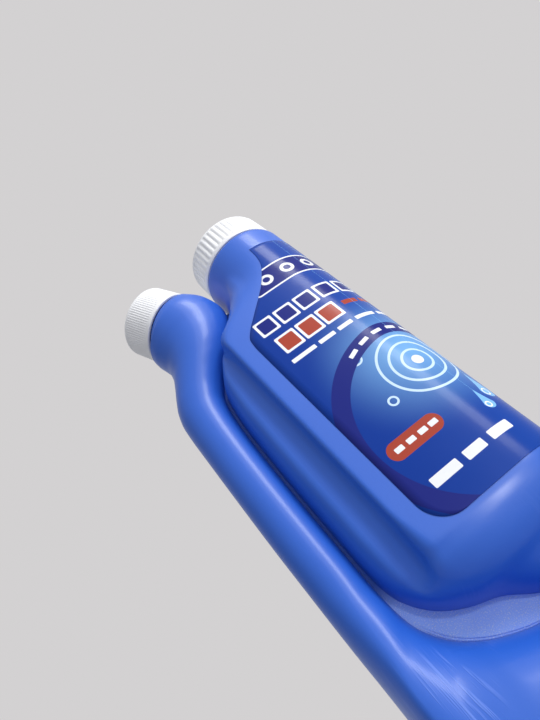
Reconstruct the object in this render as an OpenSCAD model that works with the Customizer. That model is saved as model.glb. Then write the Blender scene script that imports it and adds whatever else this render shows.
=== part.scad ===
// Twin-neck drain cleaner bottle: one blow-moulded shell with a main chamber, a throat, a dose
// reservoir and a side tube, two screw caps with liners, and a label on the front panel.
// +Z is up, the front faces -Y, the side tube is on the -X side, and Z = 0 is the standing face.

/* [Bottle] */
// Overall width, from the side tube to the far side of the chamber
bottle_w = 86; // [84:0.5:90]
// Height of the big neck's collar above the standing face
shoulder_h = 204.4; // [200:0.2:212]
// Depth of the main chamber over its flat front and back
chamber_d = 41; // [39:0.5:43]
// Wall of the moulded shell
wall = 1.2; // [1:0.1:1.5]

/* [Main chamber] */
// Width of the raised panel, from its step edge to the far side
panel_w = 57; // [54:0.5:60]
// Depth over the lower ledge beside the raised panels
ledge_d = 25; // [22:0.5:28]
// Radius of the panel's step edge
step_r = 1.5; // [1.2:0.1:2.4]
// How far the front panel bulges from its edge to its middle
panel_crown = 0.9; // [0.4:0.1:1.4]
// Height of the chamber's floor at the crevice
floor_h = 60; // [58:0.5:64]

/* [Side tube] */
// Outside diameter of the side tube
tube_d = 15.6; // [14:0.2:17]
// Gap between the tube and the chamber
crevice = 0.9; // [0.7:0.1:1.6]

/* [Dose reservoir] */
// Height of the reservoir under the middle of the web
reservoir_h = 32.5; // [30:0.5:34]
// Depth of the reservoir
reservoir_d = 44.5; // [42:0.5:48]
// Rise of the pushed-up base inside its standing ring
base_rise = 2; // [1:0.25:3]
// Width of the throat between the chamber and the reservoir
throat_w = 8; // [7:0.25:9]
// Depth of the throat
throat_d = 17; // [14:0.5:20]

/* [Pinched web] */
// Thickness of the web that closes the crevice
web_t = 1.6; // [1.2:0.1:2.2]

/* [Big neck and cap] */
// Outside diameter of the collar under the big cap
big_collar_d = 41; // [40:0.25:42]
// Outside diameter of the big neck
big_neck_d = 34.4; // [33:0.2:35]
// Bore of the big neck
big_bore_d = 31; // [29:0.25:31.5]
// Diameter of the big cap at its lower rim
big_cap_d = 40; // [39.2:0.2:41]
// Height of the big cap
big_cap_h = 15.5; // [14.5:0.25:17]
// Number of ribs round the big cap
big_cap_ribs = 48; // [36:1:60]

/* [Small neck and cap] */
// Lean of the small neck away from the big one
small_lean = 24.3; // [23:0.1:26]
// Outside diameter of the collar under the small cap
small_collar_d = 31; // [30.4:0.2:31.4]
// Outside diameter of the small neck
small_neck_d = 25.4; // [24:0.2:26]
// Bore of the small neck
small_bore_d = 21.4; // [20:0.2:22]
// Diameter of the small cap at its lower rim
small_cap_d = 31; // [30.4:0.2:31.4]
// Height of the small cap
small_cap_h = 14.5; // [13.5:0.25:16]
// Number of ribs round the small cap
small_cap_ribs = 96; // [60:2:110]

/* [Caps] */
// Wall of a cap's skirt, over the ribs
cap_wall = 1.6; // [1.4:0.1:1.8]
// Thickness of a cap's top
cap_top_t = 1.4; // [1.2:0.1:2]
// Thickness of the liner in a cap
liner_t = 1; // [0.8:0.1:1.4]
// Gap between a cap's rim and the collar under it
rim_gap = 0.6; // [0.4:0.1:1]
// Gap between a liner and the lip of its neck
lip_gap = 0.05; // [0.02:0.01:0.1]
// Depth of the grooves between a cap's ribs
rib_depth = 0.5; // [0.4:0.05:0.6]

/* [Label] */
// Height of the label's lower edge above the chamber's floor
label_lift = 0.5; // [0.5:0.5:4]
// Distance from the collar down to the label's top edge
label_drop = 13; // [11:0.5:15]
// Bare margin between the panel's step edge and the label
label_margin = 7; // [5:0.25:9]
// Radius of the label's lower corner
label_r = 9; // [6:0.5:12]
// Thickness of the label
label_t = 0.15; // [0.1:0.05:0.3]
// Film of adhesive between the label and the bottle
label_gap = 0.04; // [0.02:0.01:0.1]

/* [Hidden] */
$fn = 64;

body_blue = [0.26, 0.43, 0.80];
label_blue = [0.07, 0.23, 0.61];
cap_white = [0.96, 0.96, 0.97];
liner_grey = [0.85, 0.86, 0.88];

// Places in the parting plane, y = 0
left_x = -bottle_w / 2;
right_x = bottle_w / 2;
far_x = right_x - 0.5;
neck_x = far_x - chamber_d / 2;
tube_right = left_x + tube_d;
chamber_left = tube_right + crevice;
step_x = far_x - panel_w;
collar_r = big_collar_d / 2;
collar_round = 1.6;
throat_x = neck_x - 5.5;
throat_z = reservoir_h + 4;
throat_left = throat_x - throat_w / 2;
throat_right = throat_x + throat_w / 2;
label_bottom = floor_h + label_lift;
label_top = shoulder_h - label_drop;

// The small neck: the middle of its collar's top and the axis that leans out
small_r = small_collar_d / 2;
small_top = [left_x + 21.9, shoulder_h - 7.35];
small_axis = [-sin(small_lean), cos(small_lean)];
small_across = [-cos(small_lean), -sin(small_lean)];

// Curve helpers: a smooth run through keys that never overshoots them, and blends
function mix(a, b, t) = a * (1 - t) + b * t;
function ease(t) = let (c = max(0, min(1, t))) c * c * (3 - 2 * c);
function power(x, n) = x <= 1e-9 ? 0 : pow(x, 2 / n);
function rate(keys, i) =
    let (j = max(0, min(len(keys) - 2, i)))
    (keys[j + 1][1] - keys[j][1]) / (keys[j + 1][0] - keys[j][0]);
function tangent(keys, i) =
    let (a = rate(keys, i - 1), b = rate(keys, i))
    [for (c = [0 : len(a) - 1]) a[c] * b[c] > 0 ? 2 * a[c] * b[c] / (a[c] + b[c]) : 0];
function through(keys, s) =
    let (
        hits = [for (i = [0 : len(keys) - 2]) if (keys[i + 1][0] >= s) i],
        i = len(hits) > 0 ? hits[0] : len(keys) - 2,
        w = keys[i + 1][0] - keys[i][0],
        t = (s - keys[i][0]) / w,
        t2 = t * t,
        t3 = t2 * t
    )
    keys[i][1] * (2 * t3 - 3 * t2 + 1) + tangent(keys, i) * w * (t3 - 2 * t2 + t)
        + keys[i + 1][1] * (3 * t2 - 2 * t3) + tangent(keys, i + 1) * w * (t3 - t2);

// The label's left edge at a height: straight, swept over the shoulder, round at its low corner
label_left = step_x + label_margin;
label_keys = [
    [label_drop - 2, [neck_x - 1.2]], [19.2, [neck_x - 3.2]], [27, [neck_x - 6]],
    [34.4, [neck_x - 10.6]], [45.7, [neck_x - 21.6]], [51, [neck_x - 26.8]],
    [54.6, [label_left + 0.5]], [60, [label_left]], [floor_h + 90, [label_left]]
];
function corner_in(z) =
    let (d = max(0, min(label_r, label_bottom + label_r - z)))
    label_r - sqrt(label_r * label_r - d * d);
function label_edge(z) =
    let (drop = max(label_drop - 2, min(floor_h + 90, shoulder_h - z)))
    through(label_keys, drop)[0] + corner_in(z);

// The radius of the panel's left edge: crisp on the panel, wide where it runs into the collar
edge_keys = [
    [12, [collar_r - 8]], [34, [collar_r - 10.5]], [42, [6]], [49, [step_r]],
    [shoulder_h - floor_h - 14, [step_r]], [shoulder_h - floor_h + 4, [4.5]]
];
function edge_round(z) =
    through(edge_keys, max(12, min(shoulder_h - floor_h + 4, shoulder_h - z)))[0];

// A half outline has runs of places: ledge, step edge, margin, label, far side
ledge_n = 8;
edge_n = 3;
margin_n = 3;
face_n = 3;
far_n = 8;
edge_k = ledge_n + edge_n;
label_k = edge_k + margin_n;
face_k = label_k + face_n;
half_n = face_k + far_n;
loop_n = 2 * half_n;

// The angle at each place of a plain oval section
function plain_angle(k) =
    k <= ledge_n ? 36 * k / ledge_n
    : k <= edge_k ? 36 + 12 * (k - ledge_n) / edge_n
    : k <= label_k ? 48 + 38 * (k - edge_k) / margin_n
    : k <= face_k ? 86 + 4 * (k - label_k) / face_n
    : 90 + 90 * (k - face_k) / far_n;

// Place k of a plain oval section: [distance along the section, depth]
function plain_point(k, length, mid, depth, near_n, end_n) =
    let (a = plain_angle(k))
    a <= 90 ? [mid - mid * power(cos(a), near_n), depth * power(sin(a), near_n)]
    : [mid + (length - mid) * power(-cos(a), end_n), depth * power(sin(a), end_n)];

// Place k of a section of the main chamber: round ledge, hollow riser, step edge and panel
function panel_point(k, length, mid, depth, ledge_w, label_u, r, inset) =
    let (
        edge_depth = depth - panel_crown,
        riser = edge_depth - r,
        lobe_h = min(ledge_d / 2, 0.68 * riser) - inset,
        lobe_w = 0.42 * ledge_w,
        half = ledge_n / 2,
        start = ledge_w + r
    )
    k <= half ? let (a = 90 * k / half) [lobe_w * (1 - cos(a)), lobe_h * sin(a)]
    : k <= ledge_n ? let (a = 90 * (k - half) / half)
        [lobe_w + (ledge_w - lobe_w) * sin(a), lobe_h + (riser - lobe_h) * (1 - cos(a))]
    : k <= edge_k ? let (a = 90 * (k - ledge_n) / edge_n)
        [ledge_w + r * (1 - cos(a)), riser + r * sin(a)]
    : k <= face_k ? let (
            t = k <= label_k ? (k - edge_k) / margin_n : (k - label_k) / face_n,
            u = k <= label_k ? mix(start, label_u, t) : mix(label_u, mid, t)
        )
        [u, edge_depth + panel_crown * sin(90 * (u - start) / (mid - start))]
    : let (a = 90 * (k - face_k) / far_n) [mid + (length - mid) * sin(a), depth * cos(a)];

// A key is [place along the bottle, [near x, near z, far x, far z, depth, mid share, near power,
// far power, panel share]]. Near is the end at the crevice and the web, far the end on the
// outline, and the mid share says how far along the section its deepest place lies.
function oval(s, near, far, depth, mid = 0.5, near_n = 2, end_n = 2, panel = 0) =
    [s, [near[0], near[1], far[0], far[1], depth, mid, near_n, end_n, panel]];
function chamber_oval(drop, sweep, panel, lift = 0) =
    let (x = mix(chamber_left, neck_x - collar_r, sweep) + lift, z = shoulder_h - drop)
    oval(drop, [x, z], [far_x, z], chamber_d / 2, (neck_x - x) / (far_x - x), 2, 2, panel);

// From the collar down the chamber: the near side sweeps out over the shoulder
floor_s = shoulder_h - floor_h;
chamber_keys = [
    oval(collar_round, [neck_x - collar_r, shoulder_h - collar_round],
        [neck_x + collar_r, shoulder_h - collar_round], collar_r),
    chamber_oval(11.5, 1, 0),
    chamber_oval(20.9, 0.95, 0.35),
    chamber_oval(30.9, 0.78, 0.9),
    chamber_oval(38.7, 0.56, 1),
    chamber_oval(47.4, 0.28, 1),
    chamber_oval(57, 0.095, 1),
    chamber_oval(74, 0.025, 1),
    chamber_oval(104, 0, 1),
    chamber_oval(floor_s - 15, 0, 1),
    chamber_oval(floor_s - 6, 0, 1, 0.4),
    chamber_oval(floor_s, 0, 1, 1.6)
];

// Under the panel the section turns and narrows to the throat
row_step = 5;
floor_keys = [
    oval(floor_s + row_step, [chamber_left + 3.9, floor_h - 4.5], [far_x, floor_h - 3.6],
        chamber_d / 2 - 0.3, 0.68, 3, 2, 0.62),
    oval(floor_s + 2 * row_step, [chamber_left + 8.6, floor_h - 9.8], [far_x - 1, floor_h - 7.8],
        chamber_d / 2 - 1.4, 0.66, 3.2, 2, 0.06),
    oval(floor_s + 3 * row_step, [chamber_left + 15.6, floor_h - 14], [far_x - 4, floor_h - 11.6],
        chamber_d / 2 - 3.4, 0.62, 3.2),
    oval(floor_s + 4 * row_step, [chamber_left + 23.6, floor_h - 17], [throat_right + 13, floor_h - 14.6],
        throat_d / 2 + 5.8, 0.57, 2.9),
    oval(floor_s + 5 * row_step, [throat_left - 6.6, throat_z + 0.8], [throat_right + 5, throat_z + 3.8],
        throat_d / 2 + 2.6, 0.52, 2.4),
    oval(floor_s + 6 * row_step, [throat_left, throat_z - 1.6], [throat_right, throat_z + 0.8],
        throat_d / 2)
];

// Round the end of the web, along the standing face and up to the foot of the tube
throat_s = floor_s + 6 * row_step;
foot_r = reservoir_d / 2;
sink = 2.6;
function foot(i, near, far, shy, mid = 0.55, near_n = 1.8, end_n = 3.2) =
    oval(throat_s + i * row_step, near, far, foot_r - shy, mid, near_n, end_n);
reservoir_keys = [
    foot(1, [throat_left + 1.1, throat_z - 2.6], [throat_right + 4, throat_z - 1.8],
        foot_r - throat_d / 2 - 2, 0.5, 1.9, 2.1),
    foot(2, [throat_left + 0.6, throat_z - 3.9], [throat_right + 12.4, throat_z - 6], 8.6, 0.5, 1.8, 2.2),
    foot(3, [throat_left - 1.6, throat_z - 4.9], [right_x - 3.4, throat_z - 13.4], 4.6, 0.52, 1.8, 2.4),
    foot(4, [throat_left - 4.4, reservoir_h - 0.7], [right_x, 16], 1.6, 0.55, 1.8, 2.6),
    foot(5, [throat_left - 7.2, reservoir_h - 0.5], [right_x - 0.4, 7], 0.4, 0.55, 1.8, 2.8),
    foot(6, [throat_left - 10, reservoir_h - 0.2], [right_x - 4.6, -0.6], 0, 0.55, 1.8, 3),
    foot(7, [throat_left - 13.3, reservoir_h + 0.4], [right_x - 15, -sink], 0),
    foot(8, [throat_left - 17.3, reservoir_h + 1.6], [right_x - 27, -sink], 0),
    foot(9, [throat_left - 21.4, reservoir_h + 3.2], [right_x - 40, -sink], 0),
    foot(10, [chamber_left + 13.4, reservoir_h + 5.2], [left_x + 34, -sink], 0, 0.57),
    foot(11, [chamber_left + 10.2, reservoir_h + 7.2], [left_x + 22, -sink], 0, 0.6),
    foot(12, [chamber_left + 7.3, reservoir_h + 9.5], [left_x + 12, -1], 0.3, 0.67, 1.75, 3),
    foot(13, [chamber_left + 4.8, reservoir_h + 12.2], [left_x + 5.2, 3], 1.3, 0.73, 1.7, 2.7),
    foot(14, [chamber_left + 2.8, reservoir_h + 15.2], [left_x + 2.7, 11], 3, 0.77, 1.65, 2.5),
    foot(15, [chamber_left + 1.1, reservoir_h + 18.6], [left_x + 2.2, 21], 5.4, 0.78, 1.65, 2.3),
    foot(16, [tube_right + 1, reservoir_h + 22.4], [left_x + 1.9, 32], 8, 0.76, 1.65, 2.2),
    foot(17, [tube_right + 0.4, reservoir_h + 27.5], [left_x + 1.5, 44], 10.6, 0.66, 1.8, 2.1),
    foot(18, [tube_right, reservoir_h + 35], [left_x + 0.9, 58], 13, 0.57, 1.9, 2)
];

// Up the side tube, whose near side keeps the crevice's gap from the chamber, to the small neck
tube_s = throat_s + 18 * row_step;
tube_r = tube_d / 2;
function beside(z, extra = 0) = [through(chamber_keys, shoulder_h - z)[0] - crevice - extra, z];
function tube_oval(i, drop, far, fuller) =
    oval(tube_s + i * row_step, beside(shoulder_h - drop), far, tube_r + fuller);
function collar_side(drop, side) = small_top - drop * small_axis + side * small_r * small_across;
tube_keys = [
    tube_oval(1, 128, [left_x + 0.5, shoulder_h - 130], 0.3),
    tube_oval(2, 108, [left_x + 0.1, shoulder_h - 108], 0),
    tube_oval(3, 84, [left_x, shoulder_h - 84], 0),
    tube_oval(4, 66, [left_x, shoulder_h - 65], 0.3),
    tube_oval(5, 57, [left_x + 0.2, shoulder_h - 56], 0.9),
    tube_oval(6, 50, [left_x + 1.3, shoulder_h - 49.5], 1.7),
    tube_oval(7, 43.5, [left_x + 3.6, shoulder_h - 43.5], 2.8),
    tube_oval(8, 37.4, [left_x + 6.2, shoulder_h - 37.8], 4.1),
    tube_oval(9, 31.6, [left_x + 8.2, shoulder_h - 32.4], 5.4),
    tube_oval(10, 26, [left_x + 8.9, shoulder_h - 27.2], 6.4),
    tube_oval(11, 20.6, [left_x + 8.1, shoulder_h - 22.6], 7.1),
    oval(tube_s + 12 * row_step, beside(shoulder_h - 15.4, 0.2), [left_x + 7.2, shoulder_h - 18.8],
        small_r + 0.2),
    oval(tube_s + 13 * row_step,
        mix(beside(shoulder_h - 15.4, 0.4), collar_side(collar_round, -1), 0.5) + [1.6, 0.9],
        [left_x + 6.9, shoulder_h - 15.9], small_r + 0.7),
    oval(tube_s + 14 * row_step, collar_side(collar_round, -1) - 0.9 * small_across,
        collar_side(collar_round, 1), small_r + 0.2)
];
end_s = tube_s + 14 * row_step;
keys = concat(chamber_keys, floor_keys, reservoir_keys, tube_keys);

// The pushed-up base, as the height of the standing face under a place
base_r = 12;
function base_z(x, y) =
    base_rise * ease(1.6 * (1 - pow(x / (bottle_w / 2 - 11.5), 2) - pow(y / base_r, 2)));

// Place k of the section v, moved in by inset and up by rise, as a point on the skin
function skin_point(v, k, inset, rise) =
    let (
        near = [v[0], v[1]],
        far = [v[2], v[3]],
        whole = norm(far - near),
        dir = (far - near) / whole,
        length = whole - 2 * inset,
        mid = v[5] * whole - inset,
        depth = v[4] - inset,
        half_k = k <= half_n ? k : loop_n - k,
        plain = plain_point(half_k, length, mid, depth, v[6], v[7]),
        r = max(0.4, edge_round(v[1]) - inset),
        p = v[8] <= 0 ? plain : mix(plain, panel_point(half_k, length, mid, depth,
            max(0, step_x - v[0]), label_edge(v[1]) - v[0] - inset, r, inset), v[8]),
        place = near + (p[0] + inset) * dir + [0, rise],
        y = k <= half_n ? -p[1] : p[1]
    )
    [place[0], y, max(place[1], base_z(place[0], y) + max(0, 1.4 * inset))];
function skin_row(s, inset, ks, rise = 0) =
    let (v = through(keys, s))
    [for (k = ks) skin_point(v, k, inset, rise)];

// The inner skin is lifted off the sloping floor over the throat and lowered under the roof below it
rise_keys = [
    [0, [0]], [floor_s, [0]], [floor_s + 2 * row_step, [0.7]], [floor_s + 4 * row_step, [1]],
    [floor_s + 5 * row_step, [0.9]], [throat_s, [0]], [throat_s + row_step, [-0.8]],
    [throat_s + 3 * row_step, [-0.9]], [throat_s + 6 * row_step, [-0.5]],
    [throat_s + 9 * row_step, [0]], [end_s, [0]]
];
function inner_row(s) = skin_row(s, wall, even_k, wall * through(rise_keys, s)[0]);

// A round row about a neck's axis, at a drop below the collar's top; across runs near to far
function neck_row(centre, axis, across, r, drop, ks) =
    let (c = centre - drop * axis)
    [for (k = ks)
        let (a = plain_angle(k <= half_n ? k : loop_n - k), side = k <= half_n ? -1 : 1)
        [c[0] - r * cos(a) * across[0], side * r * sin(a), c[1] - r * cos(a) * across[1]]];

// Where the rows lie along the bottle
corner_s = [for (a = [0 : 22.5 : 90]) shoulder_h - label_bottom - label_r * (1 - sin(a))];
label_s = concat(
    [label_drop],
    [for (i = [1 : 11]) label_drop + 3.9 * i],
    [for (i = [1 : 5]) mix(label_drop + 42.9, corner_s[0], pow(i / 6, 1.2))],
    corner_s
);
outer_s = concat(
    [collar_round, 7],
    label_s,
    [for (i = [0 : 9]) floor_s + i * row_step],
    [for (i = [0 : 5]) floor_s + (9.5 + i / 2) * row_step],
    [for (i = [13 : 16]) floor_s + i * row_step],
    [for (i = [0 : 7]) floor_s + (17 + i / 2) * row_step],
    [for (i = [21 : 24]) floor_s + i * row_step],
    [for (i = [1 : 18]) tube_s + 14 * row_step * i / 18]
);
inner_s = concat(
    [8, label_drop + 3],
    [for (i = [1 : 7]) label_drop + 1 + 6 * i],
    [for (i = [1 : 4]) mix(label_drop + 43, floor_s - 5, i / 4)],
    [for (i = [0 : 9]) floor_s + i * row_step],
    [for (i = [5 : 12]) floor_s + 2 * i * row_step],
    [for (i = [1 : 9]) tube_s + 13 * row_step * i / 9]
);

// The collars' round edges, and the shell turned in under them to the necks' bores
all_k = [for (k = [0 : loop_n - 1]) k];
even_k = [for (k = [0 : 2 : loop_n - 1]) k];
big_top = [neck_x, shoulder_h];
function collar_rows(centre, axis, across, r, turns) =
    [for (a = turns) neck_row(centre, axis, across, r - collar_round * (1 - cos(a)),
        collar_round * (1 - sin(a)), all_k)];
function lip_hole(bore, neck) = bore / 2 + 0.3 * (neck - bore) / 2;
function under_rows(centre, axis, across, r, hole) = [
    neck_row(centre, axis, across, hole, 0, even_k),
    neck_row(centre, axis, across, hole + 0.2, wall, even_k),
    neck_row(centre, axis, across, r - wall - 0.8, wall + 0.7, even_k),
    neck_row(centre, axis, across, r - wall, wall + 2.2, even_k)
];
function backwards(list) = [for (i = [len(list) - 1 : -1 : 0]) list[i]];
outer_rows = concat(
    collar_rows(big_top, [0, 1], [1, 0], collar_r, [90, 60, 30]),
    [for (s = outer_s) skin_row(s, 0, all_k)],
    collar_rows(small_top, small_axis, small_across, small_r, [30, 60, 90])
);
inner_rows = concat(
    under_rows(big_top, [0, 1], [1, 0], collar_r, lip_hole(big_bore_d, big_neck_d)),
    [for (s = inner_s) inner_row(s)],
    backwards(under_rows(small_top, small_axis, small_across, small_r,
        lip_hole(small_bore_d, small_neck_d)))
);

// Faces of a skin between rows that close on themselves
function skin_faces(first, row_count, n, outside) = [
    for (i = [0 : row_count - 2]) for (j = [0 : n - 1])
        let (a = first + i * n + j, b = first + i * n + (j + 1) % n, c = a + n, d = b + n)
        each outside ? [[a, b, d], [a, d, c]] : [[a, d, b], [a, c, d]]
];
// Faces of a rim between an outer row and an inner row with half as many places
function rim_faces(out, in, n, top) = [
    for (j = [0 : n - 1])
        let (
            a = out + 2 * j, b = a + 1, c = out + (2 * j + 2) % (2 * n),
            e = in + j, f = in + (j + 1) % n
        )
        each top ? [[a, e, b], [b, e, f], [b, f, c]] : [[a, b, e], [b, f, e], [b, c, f]]
];

module shell() {
    outer_n = len(outer_rows) * loop_n;
    inner_n = loop_n / 2;
    polyhedron(
        points = concat([for (r = outer_rows) each r], [for (r = inner_rows) each r]),
        faces = concat(
            skin_faces(0, len(outer_rows), loop_n, true),
            skin_faces(outer_n, len(inner_rows), inner_n, false),
            rim_faces(0, outer_n, inner_n, true),
            rim_faces(outer_n - loop_n, outer_n + (len(inner_rows) - 1) * inner_n, inner_n, false)
        ),
        convexity = 8
    );
}

// The web: where the two mould halves pinched the shell shut between chamber, reservoir and tube
web_top = shoulder_h - 16.5;
function web_place(s) =
    let (v = through(keys, s), a = [v[0], v[1]], b = [v[2], v[3]])
    a + 0.5 * wall * (b - a) / norm(b - a);
module web() {
    outline = [for (s = outer_s) let (p = web_place(s)) if (p[1] < web_top) p];
    rotate([90, 0, 0])
        linear_extrude(height = web_t, center = true)
            polygon(outline);
}

// A threaded neck's plain sleeve, seated in its collar, with a rounded lip
seat = 0.5;
module neck(outer_d, bore_d, height) {
    r = outer_d / 2;
    bore = bore_d / 2;
    lip = (r - bore) / 3;
    rotate_extrude()
        polygon([
            [bore, -seat], [r, -seat], [r, height - lip], [r - lip, height],
            [bore + lip, height], [bore, height - lip]
        ]);
}
big_neck_h = rim_gap + big_cap_h - cap_top_t - liner_t - lip_gap;
small_neck_h = rim_gap + small_cap_h - cap_top_t - liner_t - lip_gap;

module on_small_neck(rise) {
    at = small_top + rise * small_axis;
    translate([at[0], 0, at[1]])
        rotate([0, -small_lean, 0])
            children();
}

module bottle() {
    color(body_blue)
        union() {
            shell();
            web();
            translate([neck_x, 0, shoulder_h])
                neck(big_neck_d, big_bore_d, big_neck_h);
            on_small_neck(0)
                neck(small_neck_d, small_bore_d, small_neck_h);
        }
}

// The label lies on the panel with the panel's own rows and places
module front_label() {
    rows = label_s;
    columns = [for (k = [label_k : half_n - 1]) k];
    n = len(columns);
    count = len(rows) * n;
    skins = [for (inset = [-label_gap - label_t, -label_gap]) for (s = rows)
        each skin_row(s, inset, columns)];
    last = (len(rows) - 1) * n;
    color(label_blue)
        polyhedron(
            points = skins,
            faces = concat(
                [for (i = [0 : len(rows) - 2]) for (j = [0 : n - 2])
                    let (a = i * n + j, b = a + 1, c = a + n, d = c + 1)
                    each [
                        [a, b, d], [a, d, c],
                        [count + a, count + d, count + b], [count + a, count + c, count + d]
                    ]],
                [for (i = [0 : len(rows) - 2])
                    let (a = i * n, c = a + n, b = a + n - 1, d = b + n)
                    each [
                        [a, c, count + a], [c, count + c, count + a],
                        [b, count + b, d], [d, count + b, count + d]
                    ]],
                [for (j = [0 : n - 2])
                    let (a = j, b = j + 1, c = last + j, d = c + 1)
                    each [
                        [a, count + a, b], [b, count + a, count + b],
                        [c, d, count + c], [d, count + d, count + c]
                    ]]
            ),
            convexity = 6
        );
}

// A screw cap: a hollow revolve with a rounded top edge and grooves between its ribs
module cap(outer_d, height, ribs, band) {
    r = outer_d / 2;
    top_r = r - 0.3;
    bore = r - cap_wall;
    corner = 1.8;
    groove_h = height - corner - 0.6 - band;
    groove_w = 0.45 * PI * outer_d / ribs;
    difference() {
        rotate_extrude()
            polygon(concat(
                [[0, height], [0, height - cap_top_t], [bore - 0.6, height - cap_top_t],
                    [bore, height - cap_top_t - 0.6], [bore, 0.5], [bore + 0.4, 0], [r, 0]],
                [for (a = [0 : 22.5 : 90])
                    [top_r - corner * (1 - cos(a)), height - corner * (1 - sin(a))]]
            ));
        for (i = [0 : ribs - 1])
            rotate([0, 0, 360 * i / ribs])
                translate([r - rib_depth, -groove_w / 2, band])
                    cube([2 * rib_depth, groove_w, groove_h]);
    }
}
module liner(outer_d) {
    cylinder(h = liner_t, d = outer_d - 2 * cap_wall - 1.5);
}

module big_cap() {
    color(cap_white)
        translate([neck_x, 0, shoulder_h + rim_gap])
            cap(big_cap_d, big_cap_h, big_cap_ribs, 2.2);
}
module big_cap_liner() {
    color(liner_grey)
        translate([neck_x, 0, shoulder_h + big_neck_h + lip_gap])
            liner(big_cap_d);
}
module small_cap() {
    color(cap_white)
        on_small_neck(rim_gap)
            cap(small_cap_d, small_cap_h, small_cap_ribs, 1.6);
}
module small_cap_liner() {
    color(liner_grey)
        on_small_neck(small_neck_h + lip_gap)
            liner(small_cap_d);
}

bottle();
front_label();
big_cap();
big_cap_liner();
small_cap();
small_cap_liner();
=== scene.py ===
# %% [markdown]
# A twin-neck bottle for drain cleaner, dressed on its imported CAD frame. The frame stays fixed: each
# new piece is made in metres where the CAD already has it, and then rides on one of its bodies.

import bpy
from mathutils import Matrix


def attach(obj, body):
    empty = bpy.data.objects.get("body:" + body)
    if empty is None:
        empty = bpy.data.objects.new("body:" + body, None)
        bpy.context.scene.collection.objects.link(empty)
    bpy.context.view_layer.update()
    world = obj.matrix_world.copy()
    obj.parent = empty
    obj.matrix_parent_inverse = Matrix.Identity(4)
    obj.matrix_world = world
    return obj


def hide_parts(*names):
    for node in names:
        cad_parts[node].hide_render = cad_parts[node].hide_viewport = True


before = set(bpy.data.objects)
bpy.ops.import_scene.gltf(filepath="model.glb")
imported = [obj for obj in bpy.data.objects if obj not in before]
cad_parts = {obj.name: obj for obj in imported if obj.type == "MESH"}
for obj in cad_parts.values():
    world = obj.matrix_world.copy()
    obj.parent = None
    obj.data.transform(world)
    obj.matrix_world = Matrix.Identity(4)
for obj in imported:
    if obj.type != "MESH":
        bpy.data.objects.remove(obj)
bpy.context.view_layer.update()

# %% Tools used all through
from math import atan2, cos, pi, radians, sin, sqrt

import bmesh
import bpy
from mathutils import Matrix, Vector

MM = 0.001

# %% [markdown]
# The photograph was taken from below the label's height, close to the bottle and rolled over, so the
# bottle runs down the picture from left to right. The camera's axes are written as three directions.
# Its lens and its place come from the round rims of the two caps.

# %% Camera
camera_right = Vector((0.79859, 0.20043, -0.56757))
camera_up = Vector((0.55180, -0.62031, 0.55745))
camera_back = camera_right.cross(camera_up).normalized()
camera_place = Vector((-0.0516, -0.1607, 0.0253))

lens = bpy.data.cameras.new("photo_camera")
lens.sensor_width = 36
lens.lens = 27.216
lens.clip_start = 0.01
camera = bpy.data.objects.new("photo_camera", lens)
bpy.context.scene.collection.objects.link(camera)
turn = Matrix((camera_right, camera_up, camera_back)).transposed().to_4x4()
camera.matrix_world = Matrix.Translation(camera_place) @ turn
bpy.context.scene.camera = camera
print("camera looks along", [round(x, 3) for x in -camera_back])

# %% [markdown]
# The room was lit from above the photographer, and the bottle was held rolled over in that light. In
# the frame of the bottle "above" is therefore the picture's up direction. A tall narrow lamp on the
# right makes the long soft highlight down the side tube, and a small low one the spot under the label.

# %% Lamps
def add_lamp(name, direction, distance, width, height, power):
    """A rectangular lamp that looks at the middle of the bottle, in metres and watts."""
    data = bpy.data.lights.new(name, "AREA")
    data.shape = "RECTANGLE"
    data.size = width
    data.size_y = height
    data.energy = power
    lamp = bpy.data.objects.new(name, data)
    bpy.context.scene.collection.objects.link(lamp)
    lamp.location = middle + distance * Vector(direction).normalized()
    lamp.rotation_euler = (middle - lamp.location).to_track_quat("-Z", "Y").to_euler()


middle = Vector((0, 0, 0.11))
add_lamp("key_lamp", (0.57, -0.65, 0.50), 0.8, width=0.22, height=0.62, power=4.6)
add_lamp("low_lamp", (0.37, -0.92, -0.03), 0.7, width=0.035, height=0.03, power=0.6)

# %% [markdown]
# The camera sees a plain pale backdrop. The bottle is lit by another sky: bright towards the picture's
# up and left, and behind the bottle where the pale wall stands, and nearly dark below.

# %% World and floor
def add_node(tree, kind, **settings):
    """A node of one kind, with its settings."""
    node = tree.nodes.new(kind)
    for key, value in settings.items():
        setattr(node, key, value)
    return node


BACKDROP = (0.651, 0.638, 0.644, 1)
SKYLIGHT = (0.93, 0.95, 1, 1)
FLOOR_HALF = 1.5
FLOOR_DROP = 0.0002
world = bpy.data.worlds.new("studio")
bpy.context.scene.world = world
world.use_nodes = True
tree = world.node_tree
tree.nodes.clear()
seen = add_node(tree, "ShaderNodeBackground")
seen.inputs["Color"].default_value = BACKDROP
lit = add_node(tree, "ShaderNodeBackground")
lit.inputs["Color"].default_value = SKYLIGHT
towards = add_node(tree, "ShaderNodeTexCoord")


def facing(direction, low, high, dark, bright):
    """A strength that grows with how far a direction of the sky agrees with the one given."""
    agree = add_node(tree, "ShaderNodeVectorMath", operation="DOT_PRODUCT")
    agree.inputs[1].default_value = direction
    tree.links.new(towards.outputs["Generated"], agree.inputs[0])
    ramp = add_node(tree, "ShaderNodeMapRange")
    for socket, value in zip(list(ramp.inputs)[1:5], (low, high, dark, bright)):
        socket.default_value = value
    tree.links.new(agree.outputs["Value"], ramp.inputs["Value"])
    return ramp.outputs["Result"]


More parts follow.
